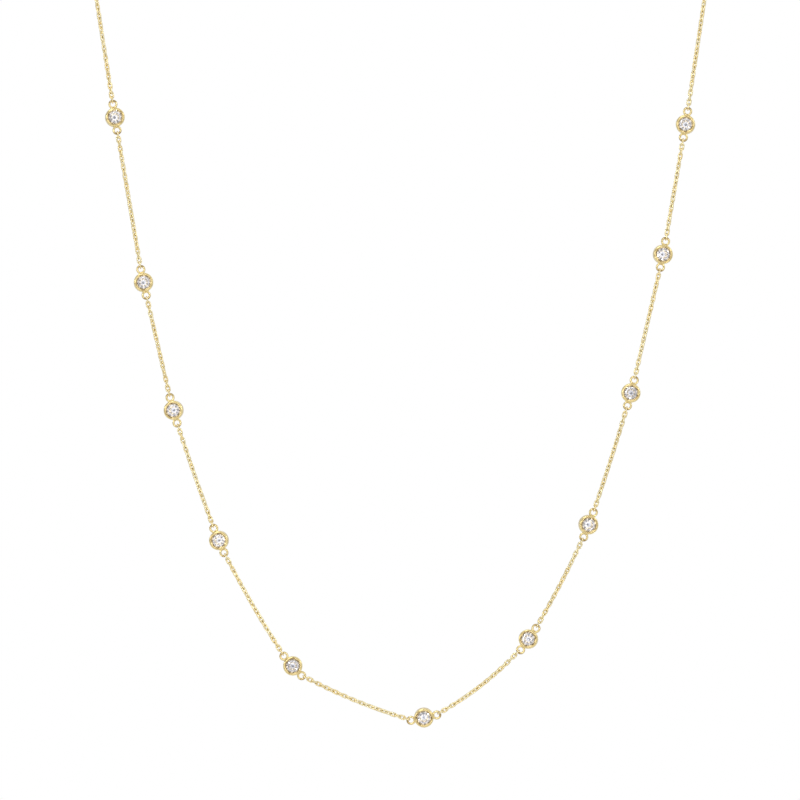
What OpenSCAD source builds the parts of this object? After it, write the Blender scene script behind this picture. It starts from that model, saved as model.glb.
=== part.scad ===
// Fine gold chain necklace with eleven round faceted stones in open-backed bezels.
// It keeps the form it hangs in. The front hangs as one curve in a plane that leans back,
// and the back goes plainly round the nape to the clasp. The front faces -Y, +Z is up,
// and the origin is the middle of the neck opening, level with the top of the front.

/* [Hanging front] */
// Flatness of the hanging curve, the constant of its catenary
curve_flat = 20.6; // [19:0.1:23]
// Drop of the lowest point below the neck seat, measured down the leaning front
front_drop = 131; // [120:1:140]
// Lean of the front back from upright, in degrees
front_lean = 20; // [12:1:30]

/* [Back] */
// Height of the nape above the neck seat
nape_rise = 24; // [20:1:30]
// Distance of the nape behind the neck seat
nape_back = 36; // [32:1:42]

/* [Setting] */
// Outer diameter of the bezel
bezel_d = 3.54; // [3.44:0.02:3.8]
// Depth of the bezel behind the plane of its eyelets
bezel_back = 1.0; // [0.96:0.02:1.3]
// Inner diameter of the open back
back_bore_d = 2.4; // [2:0.1:2.5]
// Diameter of the burnished lip's round edge
lip_d = 0.66; // [0.56:0.02:0.7]
// Outer diameter of an eyelet
eyelet_d = 1.68; // [1.6:0.02:1.8]
// Wire of an eyelet
eyelet_wire = 0.4; // [0.34:0.02:0.4]

/* [Stone] */
// Diameter of the stone at its girdle
stone_d = 2.9; // [2.7:0.05:2.9]
// Table width as a share of the diameter
table_share = 0.56; // [0.5:0.01:0.62]
// Slope of the crown facets, in degrees
crown_angle = 35; // [30:1:36]
// Slope of the pavilion facets, in degrees
pavilion_angle = 40.5; // [38:0.5:41]

/* [Chain] */
// Diameter of the chain run as a whole
chain_d = 0.86; // [0.7:0.02:0.95]
// Wire of a chain link
link_wire = 0.29; // [0.2:0.01:0.29]
// Outer width of the link that hooks an eyelet
link_w = 1.04; // [1.04:0.02:1.1]
// Outer length of a chain link
link_len = 1.44; // [1.44:0.02:1.5]

/* [Clasp] */
// Outer diameter of the clasp's ring
clasp_d = 5.2; // [4.8:0.1:6]
// Wire of the clasp's ring
clasp_wire = 1.0; // [0.9:0.05:1.1]
// Outer diameter of the end ring
end_ring_d = 3.1; // [3:0.1:3.6]

/* [Hidden] */
$fn = 48;
// Place of each stone along the curve from its lowest point, its offset outside the curve,
// and how far its setting is rolled about the chain, its face outward, in degrees
STATIONS = [
    [-128.7, -0.19, -7], [-98.2, 0.1, -5], [-74.3, 0.23, 4], [-49.2, 0, 3], [-22.6, 0.1, -2],
    [4.3, -0.05, 4], [28.7, -0.12, -5], [52.3, 0, 6], [77.5, 0, -3], [103.4, 0.06, 5],
    [127.4, -0.07, -4]
];
// Sag of each front run below the straight line between its ends
RUN_SAG = [0, 0, 0.1, 0.25, 0.5, 0.7, 0.2, 0.1, 0, 0];
stones = len(STATIONS);
runs = len(RUN_SAG);
gap = 0.05;              // between pieces that touch in use
stone_turn = 31;         // each stone is turned this much further than the last
girdle_t = 0.05;         // thickness of the stone's girdle
girdle_z = 0.33;         // height of the girdle's lower edge over the eyelet plane
table_r = stone_d * table_share / 2;
girdle_r = stone_d / 2;
crown_z = girdle_z + girdle_t;
table_z = crown_z + (girdle_r - table_r) * tan(crown_angle);
culet_z = girdle_z - girdle_r * tan(pavilion_angle);
eyelet_r = (eyelet_d - eyelet_wire) / 2;
solder = 0.22;           // how far an eyelet runs into the metal it is soldered to
eyelet_reach = (bezel_d + eyelet_d) / 2 - solder;
clasp_r = (clasp_d - clasp_wire) / 2;
clasp_eyelet_reach = (clasp_d + eyelet_d) / 2 - solder;
end_ring_r = (end_ring_d - eyelet_wire) / 2;
// The end ring hangs through the clasp, so their wires cross close to each other
ring_step = clasp_r + end_ring_r - (clasp_wire + eyelet_wire) / 2 - gap;
clasp_x = 0.1;           // of the clasp's middle, which leaves clasp and end ring centred
end_ring_x = clasp_x - ring_step;
// An end link hooks an eyelet: its middle lies this far outside the eyelet's wire
hook_reach = (link_len - 2 * link_wire - eyelet_wire) / 2 - gap;
tube_start = hook_reach + link_len / 4; // the run's body starts inside the end link
front_rings = 5;         // rings along a front run's body
back_rings = 15;         // rings along a back run's body
tube_sides = 8;
gold = [0.87, 0.75, 0.47];
stone_white = [0.9, 0.91, 0.95];

function two(i) = i < 10 ? str("0", i) : str(i);
function unit(v) = v / norm(v);

// Point of the hanging curve at arc distance s from its lowest point, in the front plane
function curve_point(s) = [
    curve_flat * ln(s / curve_flat + sqrt(1 + pow(s / curve_flat, 2))),
    sqrt(pow(curve_flat, 2) + s * s) - curve_flat - front_drop
];
function curve_tilt(s) = atan(s / curve_flat);
function curve_ahead(s) = [cos(curve_tilt(s)), sin(curve_tilt(s))];
function curve_outward(s) = [sin(curve_tilt(s)), -cos(curve_tilt(s))];

// Arc distance at which the curve rises to the level of the neck seat
seat_arc = sqrt(pow(front_drop + curve_flat, 2) - pow(curve_flat, 2));

// The front plane stands up and leans back
function front_to_space(p) = [p[0], p[1] * sin(front_lean), p[1] * cos(front_lean)];
front_normal = [0, -cos(front_lean), sin(front_lean)];

function station_arc(i) = STATIONS[i][0];
function station_point(i) =
    curve_point(station_arc(i)) + STATIONS[i][1] * curve_outward(station_arc(i));
// The way that a station's stone and eyelets face
function station_axis(i) = cos(STATIONS[i][2]) * front_normal
    + sin(STATIONS[i][2]) * front_to_space(curve_outward(station_arc(i)));
// Middle of a station's eyelet, side 1 on the right and -1 on the left
function eyelet_point(i, side) =
    front_to_space(station_point(i) + side * eyelet_reach * curve_ahead(station_arc(i)));
// Middle of an eyelet's wire where a chain that leaves in this direction hooks it
function hook_point(i, side, dir) = let (axis = station_axis(i))
    eyelet_point(i, side) + eyelet_r * unit(dir - (dir * axis) * axis);

// Points along a front run, from wire to wire of the eyelets that it hooks
function run_point(a, b, sag, t) =
    a + (b - a) * t + 4 * sag * t * (1 - t) * unit(cross(b - a, front_normal));
function run_ends(i) = let (along = unit(eyelet_point(i + 1, -1) - eyelet_point(i, 1)))
    [hook_point(i, 1, along), hook_point(i + 1, -1, -along)];

// Points along a back run, from the outer eyelet of the end setting to the hardware at the nape
function end_station(side) = side > 0 ? stones - 1 : 0;
function back_start(side) = let (i = end_station(side))
    hook_point(i, side, unit(back_corner(side) - eyelet_point(i, side)));
function back_corner(side) = front_to_space(curve_point(side * seat_arc));
function back_end(side) = [
    side > 0 ? clasp_x + clasp_eyelet_reach + eyelet_r : end_ring_x - end_ring_r,
    nape_back, nape_rise
];
rise_pull = 22;          // how long the curve keeps its way up at the side of the neck
nape_pull = 26;          // how long it runs level behind the neck
function bend(a, b, c, d, t) =
    pow(1 - t, 3) * a + 3 * pow(1 - t, 2) * t * b + 3 * (1 - t) * t * t * c + pow(t, 3) * d;
// The first part is straight up the front plane to the seat's level, the second bends round
straight_share = 0.2;
function back_point(side, t) = let (
    start = back_start(side),
    corner = back_corner(side),
    up = unit(corner - start),
    finish = back_end(side)
) t < straight_share
    ? start + (corner - start) * t / straight_share
    : bend(corner, corner + rise_pull * up, finish + [side * nape_pull, 0, 0], finish,
           (t - straight_share) / (1 - straight_share));

// A tube swept along points, its cross-section kept square to the way and to one fixed direction
function way(pts, i) = unit(pts[min(i + 1, len(pts) - 1)] - pts[max(i - 1, 0)]);
function across(t, up) = unit(cross(t, up));
module tube(pts, r, up) {
    n = len(pts);
    rings = [for (i = [0:n - 1]) let (
        t = way(pts, i), x = across(t, up), y = cross(x, t)
    ) for (k = [0:tube_sides - 1]) let (a = 360 * (k + 0.5) / tube_sides)
        pts[i] + r * (cos(a) * x + sin(a) * y)];
    sides = [for (i = [0:n - 2], k = [0:tube_sides - 1]) let (
        a = i * tube_sides + k, b = i * tube_sides + (k + 1) % tube_sides
    ) each [[a, b, b + tube_sides], [a, b + tube_sides, a + tube_sides]]];
    first = [for (k = [0:tube_sides - 1]) tube_sides - 1 - k];
    last = [for (k = [0:tube_sides - 1]) (n - 1) * tube_sides + k];
    polyhedron(points = rings, faces = concat(sides, [first, last]));
}

// Stands children, drawn with their length along X and flat in XY, along a direction in space
module along(at, dir, flat) {
    y = unit(cross(flat, dir));
    z = cross(dir, y);
    multmatrix([
        [dir[0], y[0], z[0], at[0]],
        [dir[1], y[1], z[1], at[1]],
        [dir[2], y[2], z[2], at[2]],
        [0, 0, 0, 1]
    ]) children();
}

module wire_ring(r, wire) {
    rotate_extrude() translate([r, 0]) circle(d = wire);
}

// One chain link, flat in XY with its length along X
module link() {
    half_w = (link_w - link_wire) / 2;
    straight = link_len - link_w;
    for (side = [-1, 1]) {
        translate([side * straight / 2, 0, 0]) rotate([0, 0, -90 * side])
            rotate_extrude(angle = 180) translate([half_w, 0]) circle(d = link_wire);
        translate([-straight / 2, side * half_w, 0]) rotate([0, 90, 0])
            cylinder(d = link_wire, h = straight);
    }
}

// A run of chain: its body and the two links that hook the pieces at its ends.
// Each end link stands square to the ring that it hooks, whose axis is given.
module chain(pts, start, finish, start_dir, finish_dir, start_axis, finish_axis) {
    tube(pts, chain_d / 2, front_normal);
    along(start + hook_reach * start_dir, start_dir, cross(start_dir, start_axis)) link();
    along(finish + hook_reach * finish_dir, finish_dir, cross(finish_dir, finish_axis)) link();
}

module chain_run(i) {
    ends = run_ends(i);
    a = ends[0];
    b = ends[1];
    first = tube_start / norm(b - a);
    pts = [for (k = [0:front_rings - 1])
        run_point(a, b, RUN_SAG[i], first + (1 - 2 * first) * k / (front_rings - 1))];
    color(gold) chain(pts, a, b, unit(pts[0] - a), unit(pts[front_rings - 1] - b),
        station_axis(i), station_axis(i + 1));
}

module chain_back(side) {
    a = back_start(side);
    b = back_end(side);
    first = straight_share * tube_start / norm(back_corner(side) - a);
    last = 1 - (1 - straight_share) * tube_start / (3 * nape_pull);
    pts = [for (k = [0:back_rings - 1])
        back_point(side, first + (last - first) * k / (back_rings - 1))];
    color(gold) chain(pts, a, b, unit(pts[0] - a), unit(pts[back_rings - 1] - b),
        station_axis(end_station(side)), side > 0 ? [0, 1, 0] : [0, 0, 1]);
}

// Bezel cup with its axis along Z: open back, sloped seat, and a lip burnished over the girdle
module bezel() {
    outer = bezel_d / 2;
    wall = girdle_r + gap;
    edge = 0.08;             // small bevel at the back
    blank_r = 0.4;           // inner radius of the blank, bored away below
    // The seat runs level with the stone's pavilion, a little under it
    seat_low = girdle_z - (girdle_r - back_bore_d / 2) * tan(pavilion_angle) - 1.5 * gap;
    seat_high = girdle_z - gap;
    rotate_extrude() difference() {
        union() {
            polygon([
                [blank_r, -bezel_back], [outer - edge, -bezel_back], [outer, edge - bezel_back],
                [outer, crown_z], [blank_r, crown_z]
            ]);
            translate([outer - lip_d / 2, crown_z]) circle(d = lip_d);
        }
        polygon([
            [0, -bezel_back - 1], [back_bore_d / 2, -bezel_back - 1],
            [back_bore_d / 2, seat_low], [wall, seat_high],
            [wall, crown_z + gap], [0, crown_z + gap + wall * tan(crown_angle)]
        ]);
    }
}

module setting(i) {
    color(gold) on_front(i) {
        bezel();
        for (side = [-1, 1]) translate([side * eyelet_reach, 0, 0])
            wire_ring(eyelet_r, eyelet_wire);
    }
}

// Puts children, facing +Z with their eyelets along X, at a station of the front
module on_front(i) {
    p = station_point(i);
    rotate([90 - front_lean, 0, 0]) translate([p[0], p[1], 0])
        rotate([0, 0, curve_tilt(station_arc(i))]) rotate([STATIONS[i][2], 0, 0]) children();
}

// Round brilliant: a table, and eight star, eight kite and sixteen upper facets over the girdle,
// with eight main and sixteen lower facets under it, down to a point
module brilliant() {
    star_r = girdle_r * 0.79;    // where star, kite and upper facets meet
    lower_r = girdle_r * 0.24;   // where the lower facets end on the pavilion
    main = 45;
    half = main / 2;
    function at(r, a, z) = [r * cos(a), r * sin(a), z];
    star_z = crown_z + (girdle_r - star_r * cos(half)) * tan(crown_angle);
    lower_z = culet_z + lower_r * cos(half) * tan(pavilion_angle);
    table = [for (i = [0:7]) at(table_r, i * main, table_z)];
    star = [for (i = [0:7]) at(star_r, i * main + half, star_z)];
    upper = [for (i = [0:15]) at(girdle_r, i * half, crown_z)];
    lower = [for (i = [0:15]) at(girdle_r, i * half, girdle_z)];
    pavilion = [for (i = [0:7]) at(lower_r, i * main + half, lower_z)];
    // Where each of these rows of points begins in the list
    st = 8;
    up = 16;
    lo = 32;
    pa = 48;
    culet = 56;
    polyhedron(
        points = concat(table, star, upper, lower, pavilion, [[0, 0, culet_z]]),
        faces = concat(
            [[for (i = [0:7]) 7 - i]],
            [for (i = [0:7]) [i, (i + 1) % 8, st + i]],
            [for (i = [0:7]) [i, st + i, up + 2 * i, st + (i + 7) % 8]],
            [for (i = [0:7]) [st + i, up + 2 * i + 1, up + 2 * i]],
            [for (i = [0:7]) [st + i, up + (2 * i + 2) % 16, up + 2 * i + 1]],
            [for (i = [0:15]) [up + i, up + (i + 1) % 16, lo + (i + 1) % 16, lo + i]],
            [for (i = [0:7]) [lo + 2 * i, lo + 2 * i + 1, pa + i]],
            [for (i = [0:7]) [lo + 2 * i + 1, lo + (2 * i + 2) % 16, pa + i]],
            [for (i = [0:7]) [lo + 2 * i, pa + i, culet, pa + (i + 7) % 8]]
        )
    );
}

module stone(i) {
    color(stone_white) on_front(i) rotate([0, 0, i * stone_turn]) brilliant();
}

// Spring ring, shown fastened: a round ring with a small thumb knob and a soldered eyelet
module clasp() {
    knob_reach = 0.75;
    knob_d = 0.5;
    knob_turn = 60;          // of the knob round the ring, from the eyelet
    ball_d = 0.65;
    color(gold) translate([clasp_x, nape_back, nape_rise]) rotate([90, 0, 0]) {
        wire_ring(clasp_r, clasp_wire);
        translate([clasp_eyelet_reach, 0, 0]) wire_ring(eyelet_r, eyelet_wire);
        rotate([0, 0, knob_turn]) {
            translate([clasp_r, 0, 0]) rotate([0, 90, 0])
                cylinder(d = knob_d, h = clasp_wire / 2 + knob_reach);
            translate([clasp_d / 2 + knob_reach, 0, 0]) sphere(d = ball_d);
        }
    }
}

module end_ring() {
    color(gold) translate([end_ring_x, nape_back, nape_rise])
        wire_ring(end_ring_r, eyelet_wire);
}

for (i = [1:stones]) {
    setting(i - 1);
    stone(i - 1);
}
for (i = [1:runs]) chain_run(i - 1);
chain_back(-1);  // chain_back_left
chain_back(1);  // chain_back_right
clasp();
end_ring();
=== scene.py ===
import math
import random

import bpy
import numpy as np
from mathutils import Matrix, Vector


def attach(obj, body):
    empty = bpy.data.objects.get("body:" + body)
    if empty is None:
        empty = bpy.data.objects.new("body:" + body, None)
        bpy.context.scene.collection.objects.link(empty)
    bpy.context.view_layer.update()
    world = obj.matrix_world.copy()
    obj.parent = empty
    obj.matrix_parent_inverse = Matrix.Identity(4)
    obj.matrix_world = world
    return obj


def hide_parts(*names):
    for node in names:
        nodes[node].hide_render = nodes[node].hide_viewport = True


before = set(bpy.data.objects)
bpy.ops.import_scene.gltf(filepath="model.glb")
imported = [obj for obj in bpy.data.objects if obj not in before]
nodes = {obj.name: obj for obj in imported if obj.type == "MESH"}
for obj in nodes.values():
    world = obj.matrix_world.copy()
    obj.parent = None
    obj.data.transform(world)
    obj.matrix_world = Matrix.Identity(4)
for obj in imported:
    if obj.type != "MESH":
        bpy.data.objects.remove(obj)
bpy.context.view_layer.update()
mm = 0.001
print("frame loaded with", len(nodes), "nodes")

# How the necklace hangs, with the same sizes as the solids.
# The front hangs as a catenary in a plane that leans back, and the back goes round the nape.
hang = {
    "flat": 20.6 * mm,                    # constant of the catenary
    "drop": 131 * mm,                     # of its lowest point, down the front plane
    "lean": math.radians(20),
    # each stone's place along the curve from its lowest point and its offset outside the curve,
    # both in mm, and the roll of its setting about the chain, its face outward, in degrees
    "stones": [
        (-128.7, -0.19, -7), (-98.2, 0.1, -5), (-74.3, 0.23, 4), (-49.2, 0, 3), (-22.6, 0.1, -2),
        (4.3, -0.05, 4), (28.7, -0.12, -5), (52.3, 0, 6), (77.5, 0, -3), (103.4, 0.06, 5),
        (127.4, -0.07, -4),
    ],
    # sag of each run below the straight line between its ends, in mm
    "sags": [0, 0, 0.1, 0.25, 0.5, 0.7, 0.2, 0.1, 0, 0],
    "nape": (36 * mm, 24 * mm),           # behind and above the neck seat
    "risePull": 22 * mm,                  # how long the back keeps its way up
    "napePull": 26 * mm,                  # and how long it runs level behind the neck
    "frontSteps": 60,                     # of a route's points between two settings
    "backSteps": 400,                     # and round the back
}
setting = {
    "bezelWidth": 3.54 * mm,
    "eyeletWidth": 1.68 * mm,
    "eyeletWire": 0.4 * mm,
    "solder": 0.22 * mm,                  # how far an eyelet runs into its bezel
}
clasp = {"width": 5.2 * mm, "wire": 1.0 * mm, "ringWidth": 3.1 * mm, "x": 0.1 * mm, "gap": 0.05 * mm}
frontNormal = Vector((0, -math.cos(hang["lean"]), math.sin(hang["lean"])))
frontUp = Vector((0, math.sin(hang["lean"]), math.cos(hang["lean"])))
frontRight = Vector((1, 0, 0))
eyeletRadius = (setting["eyeletWidth"] - setting["eyeletWire"]) / 2
eyeletReach = (setting["bezelWidth"] + setting["eyeletWidth"]) / 2 - setting["solder"]
claspReach = (clasp["width"] + setting["eyeletWidth"]) / 2 - setting["solder"]


def curvePoint(arc):
    flat = hang["flat"]
    return Vector((flat * math.asinh(arc / flat), math.hypot(flat, arc) - flat - hang["drop"]))


def toSpace(point):                       # from the front plane into the model's frame
    return Vector((point[0], point[1] * math.sin(hang["lean"]), point[1] * math.cos(hang["lean"])))


def squareTo(axis, way):                  # the part of a way that is square to an axis, at length 1
    return (way - way.dot(axis) * axis).normalized()


def stoneArc(index):
    return hang["stones"][index][0] * mm


def stoneRoll(index):
    return math.radians(hang["stones"][index][2])


def stoneAhead(index):                    # along the curve at a stone, in the front plane
    return Vector((hang["flat"], stoneArc(index))).normalized()


def stoneOutward(index):                  # from the curve at a stone, in the front plane
    ahead = stoneAhead(index)
    return Vector((ahead.y, -ahead.x))


def stonePoint(index):
    offset = hang["stones"][index][1]
    return curvePoint(stoneArc(index)) + offset * mm * stoneOutward(index)


def stoneAxis(index):                     # the way that a stone and its eyelets face
    roll = stoneRoll(index)
    return math.cos(roll) * frontNormal + math.sin(roll) * toSpace(stoneOutward(index))


def eyeletPoint(index, side):
    return toSpace(stonePoint(index) + side * eyeletReach * stoneAhead(index))


def hookPoint(index, side, way):          # where a chain that leaves this way hooks the wire
    return eyeletPoint(index, side) + eyeletRadius * squareTo(stoneAxis(index), way)


def frontRoute(index):                    # from eyelet wire to eyelet wire between two settings
    ahead = (eyeletPoint(index + 1, -1) - eyeletPoint(index, 1)).normalized()
    start, end = hookPoint(index, 1, ahead), hookPoint(index + 1, -1, -ahead)
    down = (end - start).cross(frontNormal).normalized()
    sag = hang["sags"][index] * mm
    steps = hang["frontSteps"]
    return [start.lerp(end, step / steps) + 4 * sag * step * (steps - step) / steps**2 * down
            for step in range(steps + 1)]


def endStone(side):
    return len(hang["stones"]) - 1 if side > 0 else 0


def backRoute(side):                      # from the outermost eyelet to the clasp or the end ring
    seatArc = math.sqrt((hang["drop"] + hang["flat"])**2 - hang["flat"]**2)
    corner = toSpace(curvePoint(side * seatArc))
    way = (corner - eyeletPoint(endStone(side), side)).normalized()
    start = hookPoint(endStone(side), side, way)
    ringRadius = (clasp["ringWidth"] - setting["eyeletWire"]) / 2
    ringStep = ((clasp["width"] - clasp["wire"]) / 2 + ringRadius
                - (clasp["wire"] + setting["eyeletWire"]) / 2 - clasp["gap"])
    reach = claspReach + eyeletRadius if side > 0 else -ringStep - ringRadius
    end = Vector((clasp["x"] + reach, *hang["nape"]))
    rise = corner + hang["risePull"] * (corner - start).normalized()
    level = end + Vector((side * hang["napePull"], 0, 0))
    route = [start, corner]
    for step in range(1, hang["backSteps"] + 1):
        t = step / hang["backSteps"]
        route.append((1 - t)**3 * corner + 3 * (1 - t)**2 * t * rise
                     + 3 * (1 - t) * t**2 * level + t**3 * end)
    return route


# Camera, square to the leaning front as in the photograph, from far off.
view = {
    "width": 145.61 * mm,                 # of the picture at the front plane
    "middle": (-0.09 * mm, -72.69 * mm),  # of the picture, in the front plane
    "distance": 1.0,
    "sensor": 36,
    "farthest": 50,                       # that the camera sees
}
viewMiddle = toSpace(view["middle"])
eye = bpy.data.cameras.new("camera")
eye.sensor_width = view["sensor"]
eye.lens = view["sensor"] * view["distance"] / view["width"]
eye.clip_end = view["farthest"]
camera = bpy.data.objects.new("camera", eye)
camera.location = viewMiddle + view["distance"] * frontNormal
camera.rotation_euler = (math.pi / 2 - hang["lean"], 0, 0)
bpy.context.collection.objects.link(camera)
bpy.context.scene.camera = camera
bpy.context.scene.view_settings.view_transform = "Standard"
print("camera placed")


class Flow:                               # one value, colour or vector on its way to a shader
    def __init__(self, finish, socket):
        self.finish = finish
        self.socket = socket

    def __add__(self, other):
        return self.finish.maths("ADD", self, other)

    def __radd__(self, other):
        return self.finish.maths("ADD", other, self)

    def __sub__(self, other):
        return self.finish.maths("SUBTRACT", self, other)

    def __rsub__(self, other):
        return self.finish.maths("SUBTRACT", other, self)

    def __mul__(self, other):
        return self.finish.maths("MULTIPLY", self, other)

    def __rmul__(self, other):
        return self.finish.maths("MULTIPLY", other, self)


class Finish:                             # the nodes of one material or of the world
    def __init__(self, owner):
        owner.use_nodes = True
        self.owner = owner
        self.tree = owner.node_tree
        self.tree.nodes.clear()

    def node(self, kind, inputs=(), output=0, **settings):
        made = self.tree.nodes.new("ShaderNode" + kind)
        for name, value in settings.items():
            setattr(made, name, value)
        for name, value in dict(inputs).items():
            socket = made.inputs[name]
            if isinstance(value, Flow):
                self.tree.links.new(value.socket, socket)
            else:
                socket.default_value = value
        return Flow(self, made.outputs[output]) if made.outputs else None

    def maths(self, operation, *values):
        return self.node("Math", dict(enumerate(values)), operation=operation)

    def vector(self, operation, *values, output=0):
        return self.node("VectorMath", dict(enumerate(values)), output, operation=operation)

    def dot(self, first, second):
        return self.vector("DOT_PRODUCT", first, second, output="Value")

    def length(self, way):
        return self.vector("LENGTH", way, output="Value")

    def blend(self, amount, first, second):    # of two colours
        return self.node("Mix", {0: amount, 6: first, 7: second}, 2, data_type="RGBA")

    def step(self, value, low, high):          # smooth from 0 at low to 1 at high
        return self.node("MapRange", {"Value": value, "From Min": low, "From Max": high},
                         interpolation_type="SMOOTHSTEP")

    def ramp(self, value, stops):              # through colours, each at its place from 0 to 1
        made = self.node("ValToRGB", {"Fac": value})
        elements = made.socket.node.color_ramp.elements
        while len(elements) < len(stops):
            elements.new(0.5)
        for element, (place, colour) in zip(elements, stops):
            element.position = place
            element.color = colour
        return made

    def speckle(self, place, size, detail=2, roughness=0.5):
        return self.node("TexNoise", {"Vector": place, "Scale": 1 / size, "Detail": detail,
                                      "Roughness": roughness})

    def backdrop(self, lit, shown):            # lights as one shader does, and looks like another
        return self.node("MixShader", {0: self.node("LightPath", output="Is Camera Ray"),
                                       1: lit, 2: shown})


def grey(level):
    return (level, level, level, 1)


# World: what the metal and the stones mirror, by the angle from straight in front.
# There is soft light round the camera and from above, and a darker room low and at the sides.
room = {
    # angle in degrees, tint, brightness above and below
    "zones": [
        (0, (1.00, 1.00, 1.02), 1.15, 1.15),
        (4, (1.00, 1.00, 1.02), 1.15, 1.15),
        (6, (1.00, 1.00, 1.00), 1.55, 1.50),
        (14, (1.00, 1.00, 1.00), 1.55, 1.50),
        (17, (1.00, 1.00, 1.00), 0.46, 0.41),
        (33, (1.00, 1.00, 1.00), 0.61, 0.51),
        (36, (1.00, 0.96, 0.92), 0.20, 0.15),
        (46, (1.00, 0.94, 0.88), 0.20, 0.12),
        (50, (1.00, 1.00, 1.00), 0.95, 0.55),
        (60, (1.00, 1.00, 1.00), 0.90, 0.38),
        (78, (1.00, 0.95, 0.90), 0.60, 0.25),
        (94, (1.00, 1.00, 1.00), 0.95, 0.60),
        (112, (1.00, 1.00, 1.00), 1.00, 0.80),
        (119, (1.00, 0.96, 0.92), 0.50, 0.40),
        (134, (1.00, 0.96, 0.92), 0.50, 0.40),
        (142, (1.00, 1.00, 1.00), 1.05, 0.95),
        (166, (1.00, 1.00, 1.00), 1.05, 0.95),
        (172, (1.00, 1.00, 1.00), 0.55, 0.50),
        (180, (1.00, 1.00, 1.00), 0.55, 0.50),
    ],
    "bright": math.radians(40),           # that the brighter side is turned from the top
    "turnOver": (-0.3, 0.6),              # how high the light goes from below to above
    "shown": 1.0,                         # what the camera sees behind the necklace
}


def makeWorld():
    world = bpy.data.worlds.new("studio")
    bpy.context.scene.world = world
    finish = Finish(world)
    way = finish.node("TexCoord", output="Generated")
    angle = finish.maths("ARCCOSINE", finish.dot(way, frontNormal)) * (1 / math.pi)

    def zones(which):                     # 0 above and 1 below
        stops = [(degrees / 180, (*(part * levels[which] for part in tint), 1))
                 for degrees, tint, *levels in room["zones"]]
        return finish.ramp(angle, stops)

    above = math.cos(room["bright"]) * frontUp + math.sin(room["bright"]) * frontRight
    height = finish.step(finish.dot(way, above), *room["turnOver"])
    light = finish.blend(height, zones(1), zones(0))
    lit = finish.node("Background", {"Color": light, "Strength": 1})
    shown = finish.node("Background", {"Color": grey(1), "Strength": room["shown"]})
    finish.node("OutputWorld", {"Surface": finish.backdrop(lit, shown)})


makeWorld()

# Lamps: three soft ones, and small ones in a ring round the camera for the stones.
softboxes = [
    # name, place in metres, size, power
    ("softboxTop", (-0.3, -0.4, 0.9), 0.4, 1.4),
    ("softboxLeft", (-0.8, -0.5, 0.3), 0.3, 1),
    ("softboxRight", (0.8, -0.3, 0.5), 0.2, 0.5),
]
sparkles = {
    "count": 6,
    "angle": math.radians(30),            # off the camera's own direction
    "first": 0.3,                         # place of the first, as a share of the step between two
    "distance": 1.2,
    "size": 0.08,
    "power": 0.2,
}


def addLamp(name, place, size, power):
    lamp = bpy.data.lights.new(name, "AREA")
    lamp.shape = "DISK"
    lamp.size = size
    lamp.energy = power
    holder = bpy.data.objects.new(name, lamp)
    holder.location = place
    holder.rotation_euler = (viewMiddle - Vector(place)).to_track_quat("-Z", "Y").to_euler()
    bpy.context.collection.objects.link(holder)


for softbox in softboxes:
    addLamp(*softbox)
for index in range(sparkles["count"]):
    turn = math.tau * (index + sparkles["first"]) / sparkles["count"]
    aside = math.cos(turn) * frontRight + math.sin(turn) * frontUp
    way = math.cos(sparkles["angle"]) * frontNormal + math.sin(sparkles["angle"]) * aside
    addLamp(f"sparkle_{index + 1}", viewMiddle + sparkles["distance"] * way, sparkles["size"],
            sparkles["power"])

floor = {"size": 8.0, "height": -0.25, "grey": 0.85}


def makeFloor():
    mesh = bpy.data.meshes.new("floor")
    half = floor["size"] / 2
    mesh.from_pydata([(x * half, y * half, floor["height"]) for x, y in
                      ((-1, -1), (1, -1), (1, 1), (-1, 1))], [], [(0, 1, 2, 3)])
    piece = bpy.data.objects.new("floor", mesh)
    bpy.context.collection.objects.link(piece)
    finish = Finish(bpy.data.materials.new("floorPaper"))
    paper = finish.node("BsdfDiffuse", {"Color": grey(floor["grey"])})
    shown = finish.node("Emission", {"Color": grey(1), "Strength": room["shown"]})
    finish.node("OutputMaterial", {"Surface": finish.backdrop(paper, shown)})
    mesh.materials.append(finish.owner)


makeFloor()
print("studio built")

# Gold: yellow and polished, with faint polishing marks, a slightly uneven surface and painted shade in
# its crevices.
gold = {
    "light": (0.96, 0.83, 0.48, 1),
    "deep": (0.94, 0.76, 0.39, 1),
    "crevice": (0.52, 0.34, 0.13, 1),     # painted shade where pieces meet and little light comes in
    "reach": 0.25 * mm,                   # how far off a piece still shades another
    "rays": 8,                            # that feel for it
    "open": (0.25, 0.75),                 # how open to the light a crevice and plain metal are
    "roughness": 0.16,
    "roughnessSpread": 0.12,
    "patchSize": 0.9 * mm,
    "patchAt": (0.35, 0.65),              # where a patch goes from deep to light
    "markSize": 0.06 * mm,
    "markDetail": (4, 0.7),               # layers of the marks, and how rough each next one is
    "markShare": 0.6,                     # of the roughness, and the rest is the patches'
    "unevenSize": 0.45 * mm,
    "unevenDepth": 0.012 * mm,
    "markDepth": 0.12,                    # share of the uneven depth
    "shadeAt": None,                      # radii between which the painted shade on a setting's inner lip ends
    "lipAt": (0, 0.3 * mm),               # heights over the eyelets' middle where its colours begin
    "pale": (1.0, 0.86, 0.46, 1),         # of the lip's outer edge, a painted highlight
    "paleAt": (1.5 * mm, 1.68 * mm),
    "hooked": (0.50, 0.36, 0.15, 1),      # painted shade at the eyelets' ends, where the links hook them
    "hookedAt": (2.66 * mm, 3.04 * mm),
    "spread": 1.3 * mm,                   # how unevenly the lip's and the ends' shades stop
}


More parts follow.
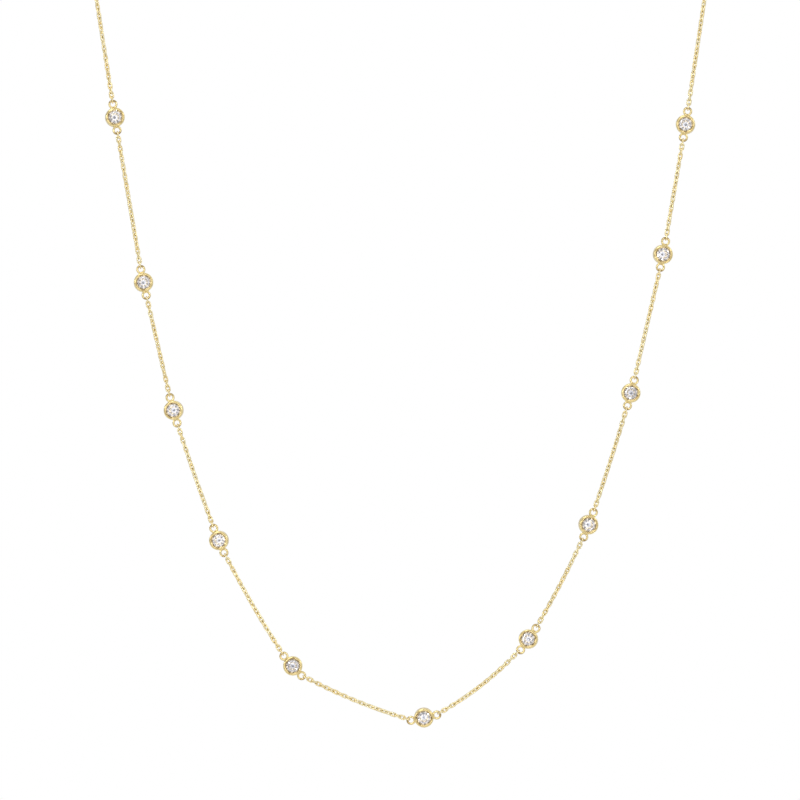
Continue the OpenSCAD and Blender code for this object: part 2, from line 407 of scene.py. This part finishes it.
def makeGold(name, **changes):
    facts = {**gold, **changes}
    finish = Finish(bpy.data.materials.new(name))
    own = finish.node("TexCoord", output="Object")
    place = finish.vector("ADD", own, finish.node("ObjectInfo", output="Location"))
    patch = finish.speckle(place, facts["patchSize"])
    marks = finish.speckle(place, facts["markSize"], *facts["markDetail"])
    uneven = finish.speckle(place, facts["unevenSize"])
    colour = finish.blend(finish.step(patch, *facts["patchAt"]), facts["deep"], facts["light"])
    openness = finish.node("AmbientOcclusion", {"Distance": facts["reach"]}, "AO",
                           samples=facts["rays"])
    openness = finish.step(openness, *facts["open"])
    if facts["shadeAt"]:                  # a setting, whose colours go by the radius: painted shade on the inner lip, a painted highlight on the lip's outer edge and painted shade at the eyelets' ends
        radius = finish.length(finish.vector("MULTIPLY", own, (1, 1, 0)))
        wavering = radius + (patch - 0.5) * facts["spread"]
        onLip = finish.step(finish.dot(own, (0, 0, 1)), *facts["lipAt"])
        # painted shade: the inner lip takes the crevice colour inside the wavering radius
        openness = openness * (1 - (1 - finish.step(wavering, *facts["shadeAt"])) * onLip)
        # painted highlight: the lip's outer edge is paler
        rimHighlight = finish.step(radius, *facts["paleAt"]) * onLip
        colour = finish.blend(rimHighlight, colour, facts["pale"])
        # painted shade at the eyelets' ends, where the links hook them
        colour = finish.blend(finish.step(wavering, *facts["hookedAt"]), colour, facts["hooked"])
    # painted shade: the crevice colour where the ambient occlusion finds little open room, and on a
    # setting's inner lip
    colour = finish.blend(openness, facts["crevice"], colour)
    polish = marks * facts["markShare"] + patch * (1 - facts["markShare"]) - 0.5
    bump = finish.node("Bump", {"Strength": 1.0, "Distance": facts["unevenDepth"],
                                "Height": uneven + marks * facts["markDepth"]})
    metal = finish.node("BsdfPrincipled", {
        "Base Color": colour, "Metallic": 1.0, "Normal": bump,
        "Roughness": facts["roughness"] + polish * facts["roughnessSpread"]})
    finish.node("OutputMaterial", {"Surface": metal})
    return finish.owner


# Stone: clear and bright, with painted reflections: a faintly blue darker heart, and the bezel's gold
# in its edge.
stone = {
    "clear": (0.975, 0.965, 1.0, 1),
    "dim": (0.735, 0.735, 0.82, 1),       # painted light and dim patches, like a cut stone's reflections
    "dimSize": 1.5 * mm,
    "dimAt": (0.35, 0.65),                # where it goes from dim to clear
    # painted reflection: a darker blue-grey heart
    "heart": (0.49, 0.535, 0.665, 1),
    "heartAt": (0.3 * mm, 0.75 * mm),     # radii between which the heart ends
    # painted reflection of the bezel's gold in the stone's edge
    "edge": (0.83, 0.58, 0.26, 1),
    "edgeAt": (0.83 * mm, 1.15 * mm),
    "ior": 2.1,
}


def makeStone(index):
    finish = Finish(bpy.data.materials.new(f"clearStone_{index + 1:02d}"))
    own = finish.node("TexCoord", output="Object")
    offMiddle = finish.vector("SUBTRACT", own, toSpace(stonePoint(index)))
    radius = finish.length(finish.vector("CROSS_PRODUCT", offMiddle, stoneAxis(index)))
    # painted reflections in the stone's colour: dim patches, the darker heart and the gold edge
    varied = finish.step(finish.speckle(own, stone["dimSize"], detail=0), *stone["dimAt"])
    colour = finish.blend(varied, stone["dim"], stone["clear"])
    colour = finish.blend(finish.step(radius, *stone["heartAt"]), stone["heart"], colour)
    colour = finish.blend(finish.step(radius, *stone["edgeAt"]), colour, stone["edge"])
    glass = finish.node("BsdfPrincipled", {
        "Base Color": colour, "Roughness": 0.0, "IOR": stone["ior"], "Transmission Weight": 1.0})
    finish.node("OutputMaterial", {"Surface": glass})
    return finish.owner


settingGold = makeGold("settingGold", light=(0.93, 0.75, 0.37, 1), deep=(0.86, 0.64, 0.27, 1),
                       crevice=(0.45, 0.33, 0.155, 1), reach=0.7 * mm, unevenDepth=0.005 * mm,
                       roughness=0.24, shadeAt=(1.22 * mm, 1.42 * mm))
# the chain's gold, with painted shade where the links cross
chainGold = makeGold("chainGold", light=(1.0, 0.89, 0.56, 1), deep=(1.0, 0.84, 0.46, 1),
                     crevice=(0.50, 0.36, 0.15, 1), open=(0.12, 0.6), patchSize=2.5 * mm,
                     roughness=0.2)
claspGold = makeGold("claspGold")


def finishFor(name):                      # of a solid, by the start of its name
    if name.startswith("stone"):
        return makeStone(int(name[-2:]) - 1)
    if name.startswith("setting"):
        return settingGold
    return chainGold if name.startswith("chain") else claspGold


for name, node in nodes.items():
    node.material_slots[0].material = finishFor(name)
print("finishes made")


# Soft joined forms: a form is a distance, negative inside it, and its skin is laid over a grid.
def softUnion(first, second, reach):
    share = np.clip(0.5 + 0.5 * (second - first) / reach, 0, 1)
    return second + (first - second) * share - reach * share * (1 - share)


def softCut(form, cutter, reach):
    return -softUnion(-form, cutter, reach)


def wireRing(points, centre, radius, wire):    # flat in XY
    x, y, z = (points[..., axis] - centre[axis] for axis in range(3))
    return np.hypot(np.hypot(x, y) - radius, z) - wire / 2


def ripple(points, chance, size, waves=6, spread=(0.7, 1.6)):    # unevenness from about -1 to 1
    total = 0
    for _ in range(waves):
        way = Vector((chance.gauss(0, 1), chance.gauss(0, 1), chance.gauss(0, 1))).normalized()
        pitch = size * chance.uniform(*spread)
        start = chance.uniform(0, math.tau)
        total = total + np.sin(points @ np.array(way) * (math.tau / pitch) + start)
    return total / waves


def edgeCrossings(field, axis, low, step):     # where the form's surface cuts this way's grid edges
    first = np.moveaxis(field, axis, 0)[:-1]
    second = np.moveaxis(field, axis, 0)[1:]
    crossed = np.argwhere((first < 0) != (second < 0))
    before, after = first[tuple(crossed.T)], second[tuple(crossed.T)]
    others = [other for other in range(3) if other != axis]
    cells = np.zeros_like(crossed)
    cells[:, [axis, *others]] = crossed
    places = low + step * cells
    places[:, axis] += step * before / (before - after)
    return cells, places, before > 0


def skin(form, low, high, step, rounds=3):     # points and four-sided faces
    low, high = np.array(low), np.array(high)
    counts = np.ceil((high - low) / step).astype(int) + 1
    grid = low + step * np.stack(np.meshgrid(*map(np.arange, counts), indexing="ij"), -1)
    field = form(grid)
    sums = np.zeros((*(counts - 1), 3))
    hits = np.zeros(counts - 1)
    quads = []
    for axis in range(3):                      # a face round each grid edge that is cut
        cells, places, backward = edgeCrossings(field, axis, low, step)
        corners = []
        for back in ((0, 0), (1, 0), (1, 1), (0, 1)):
            corner = cells.copy()
            corner[:, [(axis + 1) % 3, (axis + 2) % 3]] -= back
            np.add.at(sums, tuple(corner.T), places)
            np.add.at(hits, tuple(corner.T), 1)
            corners.append(corner)
        corners = np.stack(corners, 1)
        corners[backward] = corners[backward][:, ::-1]
        quads.append(corners)
    used = hits > 0
    number = np.full(hits.shape, -1)
    number[used] = np.arange(used.sum())
    points = sums[used] / hits[used][:, None]
    nudge = step / 20
    flattest = 0.1                             # least square of the slope, where a form is flat
    for _ in range(rounds):                    # onto the form itself
        slope = np.stack([(form(points + nudge * way) - form(points - nudge * way)) / (2 * nudge)
                          for way in np.eye(3)], 1)
        off = form(points) / np.maximum((slope**2).sum(1), flattest)
        points = points - slope * off[:, None]
    faces = number[tuple(np.moveaxis(np.concatenate(quads), 2, 0))]
    return points, faces


def addPiece(name, points, faces, place, finish, replaced):
    mesh = bpy.data.meshes.new(name)
    mesh.from_pydata(points.tolist(), [], faces.tolist())
    mesh.shade_smooth()
    mesh.materials.append(finish)
    piece = bpy.data.objects.new(name, mesh)
    piece.matrix_world = place
    bpy.context.collection.objects.link(piece)
    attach(piece, "root")
    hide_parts(replaced)


# Setting: bezel cup with an open back, a sloped seat and a burnished lip, and two soldered eyelets.
bezel = {
    "back": 1.0 * mm,                     # behind the plane of the eyelets
    "bore": 2.4 * mm,
    "lip": 0.66 * mm,                     # across the burnished lip's round edge
    "girdle": (1.45 * mm, 0.33 * mm, 0.38 * mm),     # radius, lower and upper edge of the stone's
    "crown": math.radians(35),
    "pavilion": math.radians(40.5),
    "clear": 0.05 * mm,                   # round and over the stone
    "clearUnder": 0.075 * mm,
    "edge": 0.1 * mm,                     # rounding of the back's outer edge
    "soft": 0.04 * mm,                    # of the other edges
    "fillet": 0.16 * mm,                  # of solder, round the eyelets' feet
    "uneven": (0.014 * mm, 1.1 * mm),     # depth and size of the hand work's unevenness
    "grid": 0.052 * mm,
}


def settingForm(seed):
    outer = setting["bezelWidth"] / 2
    girdle, girdleLow, girdleHigh = bezel["girdle"]
    wall = girdle + bezel["clear"]
    middle = (girdleHigh - bezel["back"]) / 2
    half = (girdleHigh + bezel["back"]) / 2
    depth, size = bezel["uneven"]

    def form(points):
        x, y, z = (points[..., axis] for axis in range(3))
        radius = np.hypot(x, y)
        aside = radius - (outer - bezel["edge"])
        over = np.abs(z - middle) - (half - bezel["edge"])
        cup = (np.hypot(np.maximum(aside, 0), np.maximum(over, 0))
               + np.minimum(np.maximum(aside, over), 0) - bezel["edge"])
        lip = np.hypot(radius - (outer - bezel["lip"] / 2), z - girdleHigh) - bezel["lip"] / 2
        cup = softUnion(cup, lip, bezel["soft"])
        cup = cup + depth * (1 + ripple(points, random.Random(seed), size))
        for side in (-1, 1):
            eyelet = wireRing(points, (side * eyeletReach, 0, 0), eyeletRadius, setting["eyeletWire"])
            cup = softUnion(cup, eyelet, bezel["fillet"])
        seat = ((girdleLow - bezel["clearUnder"] - z) * math.cos(bezel["pavilion"])
                + (radius - girdle) * math.sin(bezel["pavilion"]))
        roof = ((z - girdleHigh - bezel["clear"]) * math.cos(bezel["crown"])
                + (radius - wall) * math.sin(bezel["crown"]))
        stoneRoom = np.maximum(np.maximum(radius - wall, seat), roof)
        return softCut(cup, np.minimum(radius - bezel["bore"] / 2, stoneRoom), bezel["soft"])

    return form


def makeSetting(index):
    grid = bezel["grid"]
    long = setting["bezelWidth"] / 2 + setting["eyeletWidth"] + grid
    wide = setting["bezelWidth"] / 2 + grid
    top = bezel["girdle"][2] + bezel["lip"] / 2 + grid
    seed = random.Random(f"setting {index}").random()
    points, faces = skin(settingForm(seed), (-long, -wide, -bezel["back"] - grid),
                         (long, wide, top), grid)
    place = (Matrix.Rotation(math.pi / 2 - hang["lean"], 4, "X")
             @ Matrix.Translation((*stonePoint(index), 0))
             @ Matrix.Rotation(math.atan(stoneArc(index) / hang["flat"]), 4, "Z")
             @ Matrix.Rotation(stoneRoll(index), 4, "X"))
    addPiece(f"bezelSetting_{index + 1:02d}", points, faces, place, settingGold,
             f"setting_{index + 1:02d}")
    return len(faces)


facesMade = sum(makeSetting(index) for index in range(len(hang["stones"])))
print("settings made of", facesMade, "faces")

# Clasp: a spring ring. Its tube is open for a stretch, which the thinner tongue closes, and the
# thumb knob on the tongue stands in a slot of the tube.
springRing = {
    "tongue": 0.74 * mm,                  # thickness
    "open": (76, 122),                    # degrees round the ring, from the eyelet
    "slot": (27, 61),
    "slotWidth": 0.36 * mm,
    "slotDepth": 0.24 * mm,
    "knobTurn": math.radians(60),
    "knobReach": 0.75 * mm,               # from the ring to the middle of the knob's head
    "neck": (0.5 * mm, 0.32 * mm),        # thickness at the ring and under the head
    "head": 0.65 * mm,
    "soft": 0.05 * mm,                    # rounding of the slot's edges
    "softer": 0.1 * mm,                   # of the opening's ends, and where neck and head join
    "fillet": 0.2 * mm,                   # of solder, round the eyelet's foot
    "uneven": (0.008 * mm, 1.6 * mm),
    "grid": 0.05 * mm,
}


def claspForm(points):
    ring = (clasp["width"] - clasp["wire"]) / 2
    x, y, z = (points[..., axis] for axis in range(3))
    turn = np.degrees(np.arctan2(y, x))
    degree = math.radians(1) * ring            # length of one degree of the ring

    def stretch(start, end):                   # distance beyond both ends of a stretch of the ring
        return (np.abs(turn - (start + end) / 2) - (end - start) / 2) * degree

    depth, size = springRing["uneven"]
    tube = wireRing(points, (0, 0, 0), ring, clasp["wire"])
    tube = tube + depth * (1 + ripple(points, random.Random("clasp"), size))
    tube = softCut(tube, stretch(*springRing["open"]), springRing["softer"])
    slot = np.maximum(np.abs(z) - springRing["slotWidth"] / 2,
                      clasp["width"] / 2 - springRing["slotDepth"] - np.hypot(x, y))
    tube = softCut(tube, np.maximum(slot, stretch(*springRing["slot"])), springRing["soft"])
    eyelet = wireRing(points, (claspReach, 0, 0), eyeletRadius, setting["eyeletWire"])
    tube = softUnion(tube, eyelet, springRing["fillet"])
    tongue = wireRing(points, (0, 0, 0), ring, springRing["tongue"])
    across, along = math.cos(springRing["knobTurn"]), math.sin(springRing["knobTurn"])
    out = x * across + y * along
    aside = np.hypot(y * across - x * along, z)
    top = clasp["width"] / 2 + springRing["knobReach"]
    rise = np.clip((out - ring) / (top - ring), 0, 1)
    wide, thin = springRing["neck"]
    neck = np.maximum(aside - (wide + (thin - wide) * rise) / 2, np.maximum(ring - out, out - top))
    head = np.hypot(aside, out - top) - springRing["head"] / 2
    knob = softUnion(neck, head, springRing["softer"])
    return np.minimum(np.minimum(tube, tongue), knob)


def makeClasp():
    ring, grid = clasp["width"] / 2, springRing["grid"]
    knobHeight = math.sin(springRing["knobTurn"]) * (ring + springRing["knobReach"])
    points, faces = skin(claspForm, (-ring - grid, -ring - grid, -clasp["wire"]),
                         (ring + setting["eyeletWidth"] + grid, knobHeight + springRing["head"],
                          clasp["wire"]), grid)
    place = Matrix.Translation((clasp["x"], *hang["nape"])) @ Matrix.Rotation(math.pi / 2, 4, "X")
    addPiece("springClasp", points, faces, place, claspGold, "clasp")
    print("clasp made of", len(faces), "faces")


makeClasp()

# Chain: round wire bent to long links, each through the next and a quarter turn from it.
link = {
    "wire": 0.31 * mm,
    "width": 0.94 * mm,
    "endWire": 0.29 * mm,                 # of the links that hook the eyelets
    "endWidth": 1.04 * mm,
    "pitch": 0.855 * mm,
    "slack": 0.01 * mm,                   # between an end link and the eyelet it hooks
    "arcSteps": 10,                       # round each end of a link
    "straightSteps": 2,
    "sides": 10,
    "stand": math.radians(45),            # of the links from the front, away from a run's ends
    "settle": 5,                          # links over which a run turns to it from its end link
    "sway": math.radians(5),              # how far a link stands off its place, at most
    "twist": math.radians(9),             # how far a whole run winds to and fro
    "twistLinks": 17,                     # and over how many links
}


def ringOutline(length, width, wire):     # middle line of a link, with its outward direction
    radius = (width - wire) / 2
    straight = (length - width) / 2
    outline = []
    for side in (1, -1):
        for step in range(link["arcSteps"] + 1):
            turn = math.pi * (step / link["arcSteps"] - 0.5)
            outX, outY = side * math.cos(turn), side * math.sin(turn)
            outline.append((side * straight + radius * outX, radius * outY, outX, outY))
        for step in range(1, link["straightSteps"]):
            x = side * straight * (1 - 2 * step / link["straightSteps"])
            outline.append((x, side * radius, 0, side))
    return outline


def linkShape(length, width, wire):       # points and faces of one link, flat in XY
    outline = ringOutline(length, width, wire)
    sides = link["sides"]
    points = []
    for x, y, outX, outY in outline:
        for side in range(sides):
            turn = math.tau * side / sides
            out, up = wire / 2 * math.cos(turn), wire / 2 * math.sin(turn)
            points.append((x + out * outX, y + out * outY, up))
    count = len(outline)
    faces = []
    for ring in range(count):
        for side in range(sides):
            nextRing, nextSide = (ring + 1) % count, (side + 1) % sides
            faces.append((ring * sides + side, nextRing * sides + side,
                          nextRing * sides + nextSide, ring * sides + nextSide))
    return np.array(points), np.array(faces)


def squareWays(ahead):                    # square to the chain: to the front, and sideways
    up = squareTo(ahead, frontNormal)
    return up, ahead.cross(up)


def standFor(ahead, axis):                # how a link stands that is square to a ring with this axis
    up, side = squareWays(ahead)
    return math.atan2(-up.dot(axis), side.dot(axis))


def wrap(angle, period):                  # into plus or minus half a period
    return (angle + period / 2) % period - period / 2


def layLinks(route):                      # the links' middles and ways, and their length inside
    route = np.array(route)
    lengths = np.concatenate(([0], np.cumsum(np.linalg.norm(np.diff(route, axis=0), axis=1))))

    def hookReach(inside):                # from the eyelet's wire to the end link's middle
        return (inside - setting["eyeletWire"]) / 2 - link["slack"]

    span = lengths[-1] - 2 * hookReach(link["pitch"])
    count = round(span / link["pitch"]) + 1
    start = hookReach(span / (count - 1))
    inside = (lengths[-1] - 2 * start) / (count - 1)
    places = [start + inside * index for index in range(count)]
    centres = np.stack([np.interp(places, lengths, route[:, axis]) for axis in range(3)], 1)
    aheads = [Vector(ahead).normalized() for ahead in np.gradient(centres, axis=0)]
    return centres, aheads, inside


def turnLinks(aheads, firstAxis, lastAxis, chance):    # how each link stands round the chain
    last = len(aheads) - 1
    quarter = math.pi / 2
    firstStand, lastStand = standFor(aheads[0], firstAxis), standFor(aheads[-1], lastAxis)
    firstTurn = wrap(link["stand"] - firstStand, quarter)
    lastTurn = wrap(lastStand - firstStand - firstTurn - quarter * last, math.pi)
    twistStart = chance.uniform(0, math.tau)
    stands = []
    for index in range(last + 1):
        fromFirst = min(1, index / link["settle"])
        fromLast = min(1, (last - index) / link["settle"])
        stand = firstStand + quarter * index + firstTurn * fromFirst + lastTurn * (1 - fromLast)
        wind = math.sin(twistStart + math.pi * index / link["twistLinks"]) * link["twist"]
        sway = chance.uniform(-1, 1) * link["sway"]
        stands.append(stand + min(fromFirst, fromLast) * (wind + sway))
    return stands


def makeChain(name, route, firstAxis, lastAxis, replaced):
    centres, aheads, inside = layLinks(route)
    stands = turnLinks(aheads, firstAxis, lastAxis, random.Random(name))
    shape, quads = linkShape(inside + 2 * link["wire"], link["width"], link["wire"])
    endShape = linkShape(inside + link["wire"] + link["endWire"], link["endWidth"], link["endWire"])[0]
    ends = (0, len(stands) - 1)
    points, faces = [], []
    for index, (centre, ahead, stand) in enumerate(zip(centres, aheads, stands)):
        up, side = squareWays(ahead)
        flat = math.cos(stand) * up + math.sin(stand) * side
        turn = np.array([ahead, flat.cross(ahead), flat])
        points.append((endShape if index in ends else shape) @ turn + centre)
        faces.append(quads + index * len(shape))
    addPiece(name, np.concatenate(points), np.concatenate(faces), Matrix(), chainGold,
             replaced)
    return len(stands)


linksMade = 0
for index in range(len(hang["sags"])):
    linksMade += makeChain(f"chainLinks_{index + 1:02d}", frontRoute(index), stoneAxis(index),
                           stoneAxis(index + 1), f"chain_run_{index + 1:02d}")
backs = [
    # side, name, and the axis of the ring that the last link hooks
    (-1, "left", Vector((0, 0, 1))),
    (1, "right", Vector((0, 1, 0))),
]
for side, word, axis in backs:
    linksMade += makeChain(f"chainLinksBack_{word}", backRoute(side), stoneAxis(endStone(side)), axis,
                           f"chain_back_{word}")
print("chain made of", linksMade, "links")
